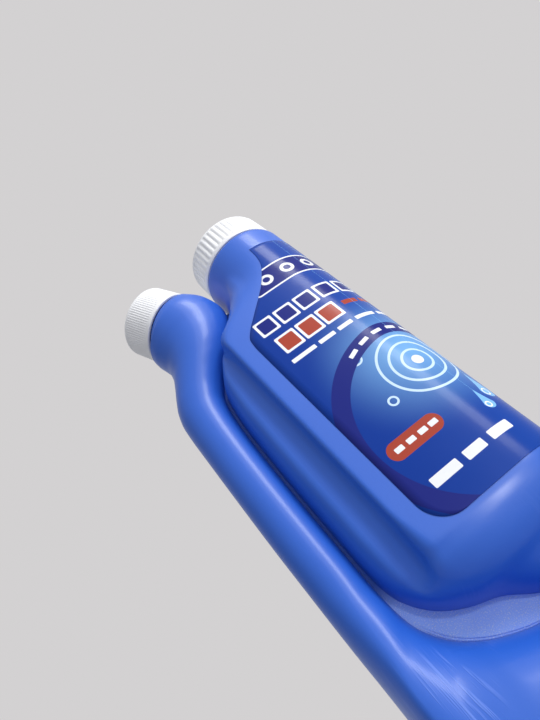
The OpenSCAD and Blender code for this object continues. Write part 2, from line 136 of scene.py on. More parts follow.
sky_up = (camera_up - 0.4 * camera_right).normalized()
brighter = add_node(tree, "ShaderNodeMath", operation="MAXIMUM")
above = facing(sky_up, low=-0.4, high=1.0, dark=0.02, bright=0.8)
behind = facing(-camera_back, low=-0.2, high=0.7, dark=0.0, bright=0.65)
tree.links.new(above, brighter.inputs[0])
tree.links.new(behind, brighter.inputs[1])
tree.links.new(brighter.outputs["Value"], lit.inputs["Strength"])
rays = add_node(tree, "ShaderNodeLightPath")
choose = add_node(tree, "ShaderNodeMixShader")
world_out = add_node(tree, "ShaderNodeOutputWorld")
tree.links.new(rays.outputs["Is Camera Ray"], choose.inputs["Fac"])
tree.links.new(lit.outputs["Background"], choose.inputs[1])
tree.links.new(seen.outputs["Background"], choose.inputs[2])
tree.links.new(choose.outputs["Shader"], world_out.inputs["Surface"])

bm = bmesh.new()
bmesh.ops.create_grid(bm, x_segments=1, y_segments=1, size=FLOOR_HALF)
floor_mesh = bpy.data.meshes.new("floor")
bm.to_mesh(floor_mesh)
bm.free()
floor = bpy.data.objects.new("floor", floor_mesh)
bpy.context.scene.collection.objects.link(floor)
floor.location.z = -FLOOR_DROP
bpy.context.scene.view_settings.view_transform = "Standard"

# %% [markdown]
# An effect that comes back, or that has a name of its own, is a node group with named inputs. A group
# puts out only a mask or a height, and the shader stays in each material, where a reader can find it.

# %% Start a node group
def new_group(name, inputs, outputs):
    """A node group read at a place, and its two end nodes. An input of None is a vector."""
    tree = bpy.data.node_groups.new(name, "ShaderNodeTree")
    for label, value in {"Place": None, **inputs}.items():
        kind = "NodeSocketVector" if value is None else "NodeSocketFloat"
        socket = tree.interface.new_socket(name=label, in_out="INPUT", socket_type=kind)
        if value is not None:
            socket.default_value = value
    for label in outputs:
        tree.interface.new_socket(name=label, in_out="OUTPUT", socket_type="NodeSocketFloat")
    return tree, add_node(tree, "NodeGroupInput"), add_node(tree, "NodeGroupOutput")


def connect(tree, source, target):
    """A link, or a plain value, into an input."""
    if isinstance(source, bpy.types.NodeSocket):
        tree.links.new(source, target)
    else:
        target.default_value = source


def calculate(tree, operation, first, second=0.0, third=0.0, clamp=False):
    """One Math node."""
    node = add_node(tree, "ShaderNodeMath", operation=operation, use_clamp=clamp)
    for source, target in zip((first, second, third), node.inputs):
        connect(tree, source, target)
    return node.outputs["Value"]


def vector_step(tree, operation, first, second=(0, 0, 0)):
    """One Vector Math node."""
    node = add_node(tree, "ShaderNodeVectorMath", operation=operation)
    connect(tree, first, node.inputs[0])
    connect(tree, second, node.inputs[1])
    return node.outputs["Value"] if operation == "LENGTH" else node.outputs["Vector"]


def spread(tree, value, low, high, to_low=0.0, to_high=1.0):
    """A Map Range node with soft ends."""
    node = add_node(tree, "ShaderNodeMapRange", interpolation_type="SMOOTHSTEP")
    for source, target in zip((value, low, high, to_low, to_high), node.inputs):
        connect(tree, source, target)
    return node.outputs["Result"]


def blend_colour(tree, factor, first, second):
    """One Mix node that blends two colours."""
    node = add_node(tree, "ShaderNodeMix", data_type="RGBA")
    connect(tree, factor, node.inputs[0])
    connect(tree, first, node.inputs[6])
    connect(tree, second, node.inputs[7])
    return node.outputs[2]


def axes(tree, place):
    """The X, Y and Z of a place."""
    node = add_node(tree, "ShaderNodeSeparateXYZ")
    connect(tree, place, node.inputs["Vector"])
    return node.outputs


def noise(tree, place, scale, detail=2.0, roughness=0.5):
    """The value of one Noise Texture."""
    node = add_node(tree, "ShaderNodeTexNoise")
    connect(tree, place, node.inputs["Vector"])
    node.inputs["Scale"].default_value = scale
    node.inputs["Detail"].default_value = detail
    node.inputs["Roughness"].default_value = roughness
    return node.outputs["Fac"]


# %% Groups for moulded plastic
def make_grain_group():
    """Moulded skin: a fine orange peel over slow waves."""
    tree, start, end = new_group("moulded_grain", {"Waves": 0.5}, ["Height", "Tone"])
    place = start.outputs["Place"]
    peel = noise(tree, place, 1400, 2)
    wave = noise(tree, place, 70, 2)
    waves = calculate(tree, "MULTIPLY", wave, start.outputs["Waves"])
    height = calculate(tree, "MULTIPLY_ADD", peel, 0.25, waves)
    connect(tree, height, end.inputs["Height"])
    connect(tree, noise(tree, place, 28, 3), end.inputs["Tone"])
    return tree


def make_parting_group():
    """The line in the plane y = 0 where the two halves of the mould met."""
    tree, start, end = new_group("parting_line", {"Half width": 0.0003}, ["Mask"])
    y = axes(tree, start.outputs["Place"])["Y"]
    waver = noise(tree, start.outputs["Place"], 90)
    shift = calculate(tree, "MULTIPLY_ADD", waver, 0.0003, -0.00015)
    across = calculate(tree, "ABSOLUTE", calculate(tree, "ADD", y, shift))
    mask = spread(tree, across, 0.0, start.outputs["Half width"], 1.0, 0.0)
    connect(tree, mask, end.inputs["Mask"])
    return tree


grain_group = make_grain_group()
parting_group = make_parting_group()
print("groups", sorted(g.name for g in bpy.data.node_groups))

# %% Start a material
def new_material(name, roughness=0.4, specular=0.5, bump=0.0, bump_depth=0.0001):
    """A Principled material with its Object coordinates and a Bump node ready for a height."""
    material = bpy.data.materials.new(name)
    material.use_nodes = True
    tree = material.node_tree
    shader = tree.nodes["Principled BSDF"]
    shader.inputs["Roughness"].default_value = roughness
    shader.inputs["Specular IOR Level"].default_value = specular
    place = add_node(tree, "ShaderNodeTexCoord").outputs["Object"]
    relief = add_node(tree, "ShaderNodeBump")
    relief.inputs["Strength"].default_value = bump
    relief.inputs["Distance"].default_value = bump_depth
    tree.links.new(relief.outputs["Normal"], shader.inputs["Normal"])
    return material, tree, shader, place, relief


def place_group(tree, group, place, **values):
    """One use of a node group, read at a place."""
    node = add_node(tree, "ShaderNodeGroup", node_tree=group)
    connect(tree, place, node.inputs["Place"])
    for key, value in values.items():
        connect(tree, value, node.inputs[key.replace("_", " ")])
    return node


# %% [markdown]
# The shell is blue polyethylene with a soft satin gloss. Its colour drifts a little, a fine skin
# breaks the highlight, and a raised line shows where the mould parted. The foot is scuffed, most of
# all in one rubbed oval: fine upright scratches that are paler and duller than the rest.

# %% Bottle plastic
def make_bottle_plastic():
    material, tree, shader, place, relief = new_material("bottle_plastic", 0.46, 0.5, 0.35, 0.00012)
    grain = place_group(tree, grain_group, place, Waves=0.6)
    line = place_group(tree, parting_group, place, Half_width=0.00035)
    z = axes(tree, place)["Z"]

    stretch = add_node(tree, "ShaderNodeMapping")
    stretch.inputs["Scale"].default_value = (1, 0.1, 0.015)
    connect(tree, place, stretch.inputs["Vector"])
    streak = spread(tree, noise(tree, stretch.outputs["Vector"], 1300, 1, 0.5), 0.52, 0.68)
    patch = spread(tree, noise(tree, place, 45, 2), 0.5, 0.62)
    low = spread(tree, z, 0.02, 0.062, 0.5, 0.0)
    rub = vector_step(tree, "SUBTRACT", place, (-0.0292, -0.02, 0.0355))
    rub = vector_step(tree, "LENGTH", vector_step(tree, "MULTIPLY", rub, (130, 50, 85)))
    rubbed = spread(tree, rub, 0.4, 1.15, 1.0, 0.0)
    worn = calculate(tree, "MAXIMUM", rubbed, calculate(tree, "MULTIPLY", patch, low))
    scuff = calculate(tree, "MULTIPLY", streak, worn)

    deep = (0.014, 0.11, 0.57, 1)
    pale = (0.02, 0.125, 0.62, 1)
    scratched = (0.26, 0.4, 0.95, 1)
    parted = (0.16, 0.28, 0.72, 1)
    colour = blend_colour(tree, grain.outputs["Tone"], deep, pale)
    colour = blend_colour(tree, calculate(tree, "MULTIPLY", scuff, 0.35), colour, scratched)
    on_line = calculate(tree, "MULTIPLY", line.outputs["Mask"], 0.4)
    colour = blend_colour(tree, on_line, colour, parted)
    connect(tree, colour, shader.inputs["Base Color"])
    rough = calculate(tree, "MULTIPLY_ADD", grain.outputs["Tone"], 0.08, 0.44)
    rough = calculate(tree, "MULTIPLY_ADD", scuff, 0.15, rough)
    shader.inputs["Coat Weight"].default_value = 0.3
    shader.inputs["Coat Roughness"].default_value = 0.2
    connect(tree, rough, shader.inputs["Roughness"])
    height = calculate(tree, "MULTIPLY_ADD", line.outputs["Mask"], 1.6, grain.outputs["Height"])
    height = calculate(tree, "MULTIPLY_ADD", scuff, 3.0, height)
    connect(tree, height, relief.inputs["Height"])
    return material


bottle_plastic = make_bottle_plastic()

# %% Frosted web
def make_web_plastic():
    """Frosted where the mould crushed the shell flat; higher up in the crevice, painted shade darkens
    it.
    """
    material, tree, shader, place, relief = new_material("web_plastic", 0.5, 0.6, 0.8, 0.0002)
    sparkle = spread(tree, noise(tree, place, 2600, 2, 0.7), 0.52, 0.74)
    crumple = noise(tree, place, 420, 3, 0.6)
    tone = noise(tree, place, 120, 3)
    glint = (0.75, 0.82, 1, 1)
    shade = (0.02, 0.1, 0.5, 1)
    colour = blend_colour(tree, tone, (0.22, 0.38, 0.96, 1), (0.3, 0.48, 1, 1))
    colour = blend_colour(tree, calculate(tree, "MULTIPLY", sparkle, 0.9), colour, glint)
    # Painted shade: above about 60 mm the web's colour turns dark navy, standing in for the shadow
    # deep in the crevice.
    painted_crevice_shade = spread(tree, axes(tree, place)["Z"], 0.056, 0.066)
    colour = blend_colour(tree, painted_crevice_shade, colour, shade)
    connect(tree, colour, shader.inputs["Base Color"])
    rough = calculate(tree, "MULTIPLY_ADD", sparkle, -0.25, 0.55)
    connect(tree, rough, shader.inputs["Roughness"])
    height = calculate(tree, "MULTIPLY_ADD", sparkle, 0.4, crumple)
    connect(tree, height, relief.inputs["Height"])
    return material


web_plastic = make_web_plastic()

# %% Cap plastic, liner foam and the floor's paper
def make_cap_plastic():
    """White polypropylene: harder and a little glossier than the shell."""
    material, tree, shader, place, relief = new_material("cap_plastic", 0.34, 0.5, 0.25, 0.0001)
    grain = place_group(tree, grain_group, place, Waves=0.5)
    deep = (0.85, 0.86, 0.88, 1)
    pale = (0.9, 0.905, 0.915, 1)
    colour = blend_colour(tree, grain.outputs["Tone"], deep, pale)
    connect(tree, colour, shader.inputs["Base Color"])
    rough = calculate(tree, "MULTIPLY_ADD", grain.outputs["Tone"], 0.1, 0.3)
    connect(tree, rough, shader.inputs["Roughness"])
    connect(tree, grain.outputs["Height"], relief.inputs["Height"])
    return material


def make_liner_foam():
    """Closed-cell foam: small cells under a matt skin."""
    material, tree, shader, place, relief = new_material("liner_foam", 0.8, 0.3, 0.6, 0.00015)
    cells = add_node(tree, "ShaderNodeTexVoronoi")
    cells.inputs["Scale"].default_value = 2200
    connect(tree, place, cells.inputs["Vector"])
    deep = (0.72, 0.73, 0.75, 1)
    pale = (0.82, 0.83, 0.85, 1)
    colour = blend_colour(tree, cells.outputs["Distance"], deep, pale)
    connect(tree, colour, shader.inputs["Base Color"])
    connect(tree, cells.outputs["Distance"], relief.inputs["Height"])
    return material


def make_floor_paper():
    """Matt grey paper with a little fibre in it."""
    material, tree, shader, place, relief = new_material("floor_paper", 0.9, 0.2, 0.1, 0.0002)
    fibre = noise(tree, place, 900, 3)
    colour = blend_colour(tree, fibre, (0.5, 0.49, 0.495, 1), (0.54, 0.53, 0.535, 1))
    connect(tree, colour, shader.inputs["Base Color"])
    connect(tree, fibre, relief.inputs["Height"])
    return material


cap_plastic = make_cap_plastic()
liner_foam = make_liner_foam()
floor.data.materials.append(make_floor_paper())
print("materials", sorted(m.name for m in bpy.data.materials))

# %% [markdown]
# The shell is one bent hollow tube: big neck, main chamber, throat, dose reservoir, side tube, small
# neck. It could be sculpted, or cut from a block with booleans. A loft is closer to the real thing: a
# section shape is chosen at a few keys along the bend, and smooth curves through them give the rest.
# All lengths below are millimetres on the real bottle, the same that the CAD source uses.

# %% Sizes
bottle_w = 86
shoulder_h = 204.4
chamber_d = 41
wall = 1.2
panel_w = 57
ledge_d = 25
step_r = 1.5
panel_crown = 0.9
floor_h = 60
tube_d = 15.6
crevice = 0.9
reservoir_h = 32.5
reservoir_d = 44.5
base_rise = 2
throat_w = 8
throat_d = 17
web_t = 1.6
big_collar_d = 41
big_neck_d = 34.4
big_bore_d = 31
big_cap_d = 40
big_cap_h = 15.5
small_lean = 24.3
small_collar_d = 31
small_neck_d = 25.4
small_bore_d = 21.4
small_cap_d = 31
small_cap_h = 14.5
cap_wall = 1.6
cap_top_t = 1.4
liner_t = 1
rim_gap = 0.6
lip_gap = 0.05
label_lift = 0.5
label_drop = 13
label_margin = 7
label_r = 9
label_t = 0.15
label_gap = 0.04

# %% Places that follow from the sizes
left_x = -bottle_w / 2
right_x = bottle_w / 2
far_x = right_x - 0.5
neck_x = far_x - chamber_d / 2
tube_right = left_x + tube_d
chamber_left = tube_right + crevice
step_x = far_x - panel_w
collar_r = big_collar_d / 2
collar_round = 1.6
throat_x = neck_x - 5.5
throat_z = reservoir_h + 4
throat_left = throat_x - throat_w / 2
throat_right = throat_x + throat_w / 2
label_bottom = floor_h + label_lift
label_top = shoulder_h - label_drop
small_r = small_collar_d / 2
lean = radians(small_lean)
small_top = Vector((left_x + 21.9, shoulder_h - 7.35))
small_axis = Vector((-sin(lean), cos(lean)))
small_across = Vector((-cos(lean), -sin(lean)))
print("panel from", step_x, "to", far_x, "and label from", label_bottom, "to", label_top)

# %% Smooth curves through keys
def mix(a, b, t):
    return a * (1 - t) + b * t


def ease(t):
    inside = max(0.0, min(1.0, t))
    return inside * inside * (3 - 2 * inside)


def rate(keys, i, c):
    j = max(0, min(len(keys) - 2, i))
    return (keys[j + 1][1][c] - keys[j][1][c]) / (keys[j + 1][0] - keys[j][0])


def tangent(keys, i, c):
    """The slope at a key that keeps the curve from overshooting."""
    a = rate(keys, i - 1, c)
    b = rate(keys, i, c)
    return 2 * a * b / (a + b) if a * b > 0 else 0.0


def through(keys, s):
    """The values at s, on smooth curves through the keys."""
    i = next((i for i in range(len(keys) - 1) if keys[i + 1][0] >= s), len(keys) - 2)
    w = keys[i + 1][0] - keys[i][0]
    t = (s - keys[i][0]) / w
    t2 = t * t
    t3 = t2 * t
    return [
        keys[i][1][c] * (2 * t3 - 3 * t2 + 1) + tangent(keys, i, c) * w * (t3 - 2 * t2 + t)
        + keys[i + 1][1][c] * (3 * t2 - 2 * t3) + tangent(keys, i + 1, c) * w * (t3 - t2)
        for c in range(len(keys[i][1]))
    ]


# %% Places round half a section: ledge, step edge, margin, label, far side
ledge_n = 8
edge_n = 3
margin_n = 3
face_n = 3
far_n = 8
edge_k = ledge_n + edge_n
label_k = edge_k + margin_n
face_k = label_k + face_n
half_n = face_k + far_n


def plain_angle(k):
    if k <= ledge_n:
        return 36 * k / ledge_n
    if k <= edge_k:
        return 36 + 12 * (k - ledge_n) / edge_n
    if k <= label_k:
        return 48 + 38 * (k - edge_k) / margin_n
    if k <= face_k:
        return 86 + 4 * (k - label_k) / face_n
    return 90 + 90 * (k - face_k) / far_n


def power(x, n):
    return 0.0 if x <= 1e-9 else x ** (2 / n)


def plain_point(k, length, mid, depth, near_n, end_n):
    """A place on a plain oval section: distance along it and depth."""
    a = radians(plain_angle(k))
    if a <= pi / 2:
        return mid - mid * power(cos(a), near_n), depth * power(sin(a), near_n)
    return mid + (length - mid) * power(-cos(a), end_n), depth * power(sin(a), end_n)


def panel_point(k, length, mid, depth, ledge_w, label_u, r):
    """A place on a panelled section: round ledge, hollow riser, step edge, crowned panel."""
    edge_depth = depth - panel_crown
    riser = edge_depth - r
    lobe_h = min(ledge_d / 2, 0.68 * riser)
    lobe_w = 0.42 * ledge_w
    half = ledge_n / 2
    start = ledge_w + r
    if k <= half:
        a = pi / 2 * k / half
        return lobe_w * (1 - cos(a)), lobe_h * sin(a)
    if k <= ledge_n:
        a = pi / 2 * (k - half) / half
        return lobe_w + (ledge_w - lobe_w) * sin(a), lobe_h + (riser - lobe_h) * (1 - cos(a))
    if k <= edge_k:
        a = pi / 2 * (k - ledge_n) / edge_n
        return ledge_w + r * (1 - cos(a)), riser + r * sin(a)
    if k <= face_k:
        if k <= label_k:
            u = mix(start, label_u, (k - edge_k) / margin_n)
        else:
            u = mix(label_u, mid, (k - label_k) / face_n)
        return u, edge_depth + panel_crown * sin(pi / 2 * (u - start) / (mid - start))
    a = pi / 2 * (k - face_k) / far_n
    return mid + (length - mid) * sin(a), depth * cos(a)


# %% The label's left edge and the panel's left edge, by height
def corner_in(z):
    d = max(0.0, min(label_r, label_bottom + label_r - z))
    return label_r - sqrt(label_r * label_r - d * d)


label_left = step_x + label_margin
label_keys = [
    (label_drop - 2, (neck_x - 1.2,)), (19.2, (neck_x - 3.2,)), (27, (neck_x - 6,)),
    (34.4, (neck_x - 10.6,)), (45.7, (neck_x - 21.6,)), (51, (neck_x - 26.8,)),
    (54.6, (label_left + 0.5,)), (60, (label_left,)), (floor_h + 90, (label_left,)),
]


def label_edge(z):
    drop = max(label_drop - 2, min(floor_h + 90, shoulder_h - z))
    return through(label_keys, drop)[0] + corner_in(z)


edge_keys = [
    (12, (collar_r - 8,)), (34, (collar_r - 10.5,)), (42, (6,)), (49, (step_r,)),
    (shoulder_h - floor_h - 14, (step_r,)), (shoulder_h - floor_h + 4, (4.5,)),
]


def edge_round(z):
    return through(edge_keys, max(12, min(shoulder_h - floor_h + 4, shoulder_h - z)))[0]


# %% Keys down the main chamber
def oval(s, near, far, depth, mid=0.5, near_n=2.0, end_n=2.0, panel=0.0):
    """A key: near and far ends in the plane y = 0, half depth, deepest place, powers, panel share."""
    return (s, (near[0], near[1], far[0], far[1], depth, mid, near_n, end_n, panel))


def chamber_oval(drop, sweep, panel, lift=0.0):
    x = mix(chamber_left, neck_x - collar_r, sweep) + lift
    z = shoulder_h - drop
    share = (neck_x - x) / (far_x - x)
    return oval(drop, (x, z), (far_x, z), chamber_d / 2, share, 2, 2, panel)


floor_s = shoulder_h - floor_h
chamber_keys = [
    oval(collar_round, (neck_x - collar_r, shoulder_h - collar_round),
         (neck_x + collar_r, shoulder_h - collar_round), collar_r),
    chamber_oval(11.5, 1, 0),
    chamber_oval(20.9, 0.95, 0.35),
    chamber_oval(30.9, 0.78, 0.9),
    chamber_oval(38.7, 0.56, 1),
    chamber_oval(47.4, 0.28, 1),
    chamber_oval(57, 0.095, 1),
    chamber_oval(74, 0.025, 1),
    chamber_oval(104, 0, 1),
    chamber_oval(floor_s - 15, 0, 1),
    chamber_oval(floor_s - 6, 0, 1, 0.4),
    chamber_oval(floor_s, 0, 1, 1.6),
]

# %% Keys under the chamber, down to the throat
row_step = 5
throat_s = floor_s + 6 * row_step
floor_keys = [
    oval(floor_s + row_step, (chamber_left + 3.9, floor_h - 4.5), (far_x, floor_h - 3.6),
         chamber_d / 2 - 0.3, 0.68, 3, 2, 0.62),
    oval(floor_s + 2 * row_step, (chamber_left + 8.6, floor_h - 9.8), (far_x - 1, floor_h - 7.8),
         chamber_d / 2 - 1.4, 0.66, 3.2, 2, 0.06),
    oval(floor_s + 3 * row_step, (chamber_left + 15.6, floor_h - 14), (far_x - 4, floor_h - 11.6),
         chamber_d / 2 - 3.4, 0.62, 3.2),
    oval(floor_s + 4 * row_step, (chamber_left + 23.6, floor_h - 17),
         (throat_right + 13, floor_h - 14.6), throat_d / 2 + 5.8, 0.57, 2.9),
    oval(floor_s + 5 * row_step, (throat_left - 6.6, throat_z + 0.8),
         (throat_right + 5, throat_z + 3.8), throat_d / 2 + 2.6, 0.52, 2.4),
    oval(throat_s, (throat_left, throat_z - 1.6), (throat_right, throat_z + 0.8), throat_d / 2),
]

# %% Keys round the end of the web, along the foot and up to the side tube
foot_r = reservoir_d / 2
sink = 2.6


def foot(i, near, far, shy, mid=0.55, near_n=1.8, end_n=3.2):
    return oval(throat_s + i * row_step, near, far, foot_r - shy, mid, near_n, end_n)


reservoir_keys = [
    foot(1, (throat_left + 1.1, throat_z - 2.6), (throat_right + 4, throat_z - 1.8),
         foot_r - throat_d / 2 - 2, 0.5, 1.9, 2.1),
    foot(2, (throat_left + 0.6, throat_z - 3.9), (throat_right + 12.4, throat_z - 6),
         8.6, 0.5, 1.8, 2.2),
    foot(3, (throat_left - 1.6, throat_z - 4.9), (right_x - 3.4, throat_z - 13.4),
         4.6, 0.52, 1.8, 2.4),
    foot(4, (throat_left - 4.4, reservoir_h - 0.7), (right_x, 16), 1.6, 0.55, 1.8, 2.6),
    foot(5, (throat_left - 7.2, reservoir_h - 0.5), (right_x - 0.4, 7), 0.4, 0.55, 1.8, 2.8),
    foot(6, (throat_left - 10, reservoir_h - 0.2), (right_x - 4.6, -0.6), 0, 0.55, 1.8, 3),
    foot(7, (throat_left - 13.3, reservoir_h + 0.4), (right_x - 15, -sink), 0),
    foot(8, (throat_left - 17.3, reservoir_h + 1.6), (right_x - 27, -sink), 0),
    foot(9, (throat_left - 21.4, reservoir_h + 3.2), (right_x - 40, -sink), 0),
    foot(10, (chamber_left + 13.4, reservoir_h + 5.2), (left_x + 34, -sink), 0, 0.57),
    foot(11, (chamber_left + 10.2, reservoir_h + 7.2), (left_x + 22, -sink), 0, 0.6),
    foot(12, (chamber_left + 7.3, reservoir_h + 9.5), (left_x + 12, -1), 0.3, 0.67, 1.75, 3),
    foot(13, (chamber_left + 4.8, reservoir_h + 12.2), (left_x + 5.2, 3), 1.3, 0.73, 1.7, 2.7),
    foot(14, (chamber_left + 2.8, reservoir_h + 15.2), (left_x + 2.7, 11), 3, 0.77, 1.65, 2.5),
    foot(15, (chamber_left + 1.1, reservoir_h + 18.6), (left_x + 2.2, 21), 5.4, 0.78, 1.65, 2.3),
    foot(16, (tube_right + 1, reservoir_h + 22.4), (left_x + 1.9, 32), 8, 0.76, 1.65, 2.2),
    foot(17, (tube_right + 0.4, reservoir_h + 27.5), (left_x + 1.5, 44), 10.6, 0.66, 1.8, 2.1),
    foot(18, (tube_right, reservoir_h + 35), (left_x + 0.9, 58), 13, 0.57, 1.9, 2),
]

# %% Keys up the side tube to the small neck
tube_s = throat_s + 18 * row_step
tube_r = tube_d / 2


def beside(z, extra=0.0):
    """A place that keeps the crevice's gap from the chamber at this height."""
    return Vector((through(chamber_keys, shoulder_h - z)[0] - crevice - extra, z))


def tube_oval(i, drop, far, fuller):
    return oval(tube_s + i * row_step, beside(shoulder_h - drop), far, tube_r + fuller)


def collar_side(drop, side):
    return small_top - drop * small_axis + side * small_r * small_across


under_collar = mix(beside(shoulder_h - 15.4, 0.4), collar_side(collar_round, -1), 0.5)
under_collar += Vector((1.6, 0.9))
tube_keys = [
    tube_oval(1, 128, (left_x + 0.5, shoulder_h - 130), 0.3),
    tube_oval(2, 108, (left_x + 0.1, shoulder_h - 108), 0),
    tube_oval(3, 84, (left_x, shoulder_h - 84), 0),
    tube_oval(4, 66, (left_x, shoulder_h - 65), 0.3),
    tube_oval(5, 57, (left_x + 0.2, shoulder_h - 56), 0.9),
    tube_oval(6, 50, (left_x + 1.3, shoulder_h - 49.5), 1.7),
    tube_oval(7, 43.5, (left_x + 3.6, shoulder_h - 43.5), 2.8),
    tube_oval(8, 37.4, (left_x + 6.2, shoulder_h - 37.8), 4.1),
    tube_oval(9, 31.6, (left_x + 8.2, shoulder_h - 32.4), 5.4),
    tube_oval(10, 26, (left_x + 8.9, shoulder_h - 27.2), 6.4),
    tube_oval(11, 20.6, (left_x + 8.1, shoulder_h - 22.6), 7.1),
    oval(tube_s + 12 * row_step, beside(shoulder_h - 15.4, 0.2), (left_x + 7.2, shoulder_h - 18.8),
         small_r + 0.2),
    oval(tube_s + 13 * row_step, under_collar, (left_x + 6.9, shoulder_h - 15.9), small_r + 0.7),
    oval(tube_s + 14 * row_step, collar_side(collar_round, -1) - 0.9 * small_across,
         collar_side(collar_round, 1), small_r + 0.2),
]
end_s = tube_s + 14 * row_step
bottle_keys = chamber_keys + floor_keys + reservoir_keys + tube_keys
print(len(bottle_keys), "keys along a bend of", end_s)

# %% A place on the skin
base_r = 12
base_soft = 1.2


def base_z(x, y):
    """The pushed-up base, as the height of the standing face under a place."""
    return base_rise * ease(1.6 * (1 - (x / (bottle_w / 2 - 11.5)) ** 2 - (y / base_r) ** 2))


def settle(z, rest):
    """z kept above rest, with a rounded corner where the wall turns under into the base."""
    h = max(0.0, 1 - abs(z - rest) / base_soft)
    return max(z, rest) + h * h * base_soft / 4


def skin_point(v, k, side, out=0.0):
    """Place k of the section v on one side of the parting plane, moved out by a little."""
    near = Vector((v[0], v[1]))
    far = Vector((v[2], v[3]))
    whole = (far - near).length
    along = (far - near) / whole
    length = whole + 2 * out
    mid = v[5] * whole + out
    depth = v[4] + out
    p = plain_point(k, length, mid, depth, v[6], v[7])
    if v[8] > 0:
        r = max(0.4, edge_round(v[1]) + out)
        ledge_w = max(0.0, step_x - v[0])
        label_u = label_edge(v[1]) - v[0] + out
        q = panel_point(k, length, mid, depth, ledge_w, label_u, r)
        p = (mix(p[0], q[0], v[8]), mix(p[1], q[1], v[8]))
    place = near + (p[0] - out) * along
    y = side * p[1]
    return Vector((place.x, y, settle(place.y, base_z(place.x, y))))


# %% [markdown]
# A skin is a flat grid rolled up: bmesh makes the grid, every vertex is carried to its place on the
# real surface, and the two long edges are merged. That keeps clean quads with no twist.

# %% A grid carried to a surface
def carried_grid(places, rows, point):
    """A bmesh grid whose vertex (place, row) stands at point(place, row), in millimetres."""
    bm = bmesh.new()
    bmesh.ops.create_grid(bm, x_segments=places, y_segments=rows, size=1)
    for vert in bm.verts:
        place = round((vert.co.x + 1) / 2 * places)
        row = round((vert.co.y + 1) / 2 * rows)
        vert.co = Vector(point(place, row)) * MM
    return bm


def close_seams(bm):
    """Merges vertices that fell on the same place and turns all faces outwards."""
    bmesh.ops.remove_doubles(bm, verts=bm.verts[:], dist=2e-6)
    bmesh.ops.dissolve_degenerate(bm, edges=bm.edges[:], dist=1e-6)
    bmesh.ops.recalc_face_normals(bm, faces=bm.faces[:])


def add_piece(name, bm, material, body, replaced=()):
    """A smooth-shaded mesh object that rides on a body."""
    mesh = bpy.data.meshes.new(name)
    bm.to_mesh(mesh)
    bm.free()
    mesh.shade_smooth()
    piece = bpy.data.objects.new(name, mesh)
    bpy.context.scene.collection.objects.link(piece)
    piece.data.materials.append(material)
    if replaced:
        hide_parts(*replaced)
    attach(piece, body)
    print(name, len(mesh.polygons), "faces,", [round(x / MM, 1) for x in piece.dimensions], "mm")
    return piece


# %% Rows and places of the shell
def steps(start, end, count):
    return [mix(start, end, i / count) for i in range(count)]


half_places = (steps(0, ledge_n, 16) + steps(ledge_n, edge_k, 6) + steps(edge_k, label_k, 6)
               + steps(label_k, face_k, 4) + steps(face_k, half_n, 18))
ring = [(k, -1) for k in half_places] + [(half_n, 1)]
ring += [(k, 1) for k in reversed(half_places[1:])]
row_s = (steps(collar_round, floor_s, 78) + steps(floor_s, throat_s, 30)
         + steps(throat_s, tube_s, 108) + steps(tube_s, end_s, 84) + [end_s])
print(len(ring), "places in a ring and", len(row_s), "rows")

# %% The collars: rows from a neck's hole over the flat rim and down its rounded edge
big_top = Vector((neck_x, shoulder_h))
up = Vector((0, 1))
sideways = Vector((1, 0))


def neck_point(centre, axis, across, r, drop, k, side):
    a = radians(plain_angle(k))
    c = centre - drop * axis
    out = c - r * cos(a) * across
    return Vector((out.x, side * r * sin(a), out.y))


def collar_rings(r, hole):
    """(radius, drop) from the hole to where the skin begins."""
    rounded = [(r - collar_round * (1 - cos(radians(a))), collar_round * (1 - sin(radians(a))))
               for a in (90, 75, 60, 45, 30, 15)]
    return [(hole, 0), (mix(hole, r - collar_round, 0.85), 0)] + rounded


def lip_hole(bore, neck):
    return bore / 2 + 0.3 * (neck - bore) / 2


big_rings = collar_rings(collar_r, lip_hole(big_bore_d, big_neck_d))
small_rings = collar_rings(small_r, lip_hole(small_bore_d, small_neck_d))

# %% The shell's skin, and its wall
section_at = [through(bottle_keys, s) for s in row_s]
first_skin = len(big_rings)
last_skin = first_skin + len(row_s) - 1
row_count = first_skin + len(row_s) + len(small_rings)


def shell_point(place, row):
    k, side = ring[place % len(ring)]
    if row < first_skin:
        r, drop = big_rings[row]
        return neck_point(big_top, up, sideways, r, drop, k, side)
    if row > last_skin:
        r, drop = small_rings[row_count - 1 - row]
        return neck_point(small_top, small_axis, small_across, r, drop, k, side)
    return skin_point(section_at[row - first_skin], k, side)


shell = carried_grid(len(ring), row_count - 1, shell_point)
close_seams(shell)
outer_faces = len(shell.faces)
bmesh.ops.solidify(shell, geom=shell.faces[:], thickness=wall * MM)
print("skin", outer_faces, "faces, with its wall", len(shell.faces))

# %% [markdown]
# Each neck is a turned sleeve that sinks into its collar. Its thread is one small profile spun upwards
# as it goes round, which is what a spin with a rise does.

# %% Necks with threads
def spun(profile, count, closed=True):
    """A profile of (radius, height) in millimetres, spun once round Z."""
    bm = bmesh.new()
    verts = [bm.verts.new((r * MM, 0, z * MM)) for r, z in profile]
    loop = verts + verts[:1] if closed else verts
    edges = [bm.edges.new(pair) for pair in zip(loop, loop[1:])]
    bmesh.ops.spin(bm, geom=verts + edges, cent=(0, 0, 0), axis=(0, 0, 1), angle=2 * pi,
                   steps=count, use_merge=True)
    close_seams(bm)
    return bm


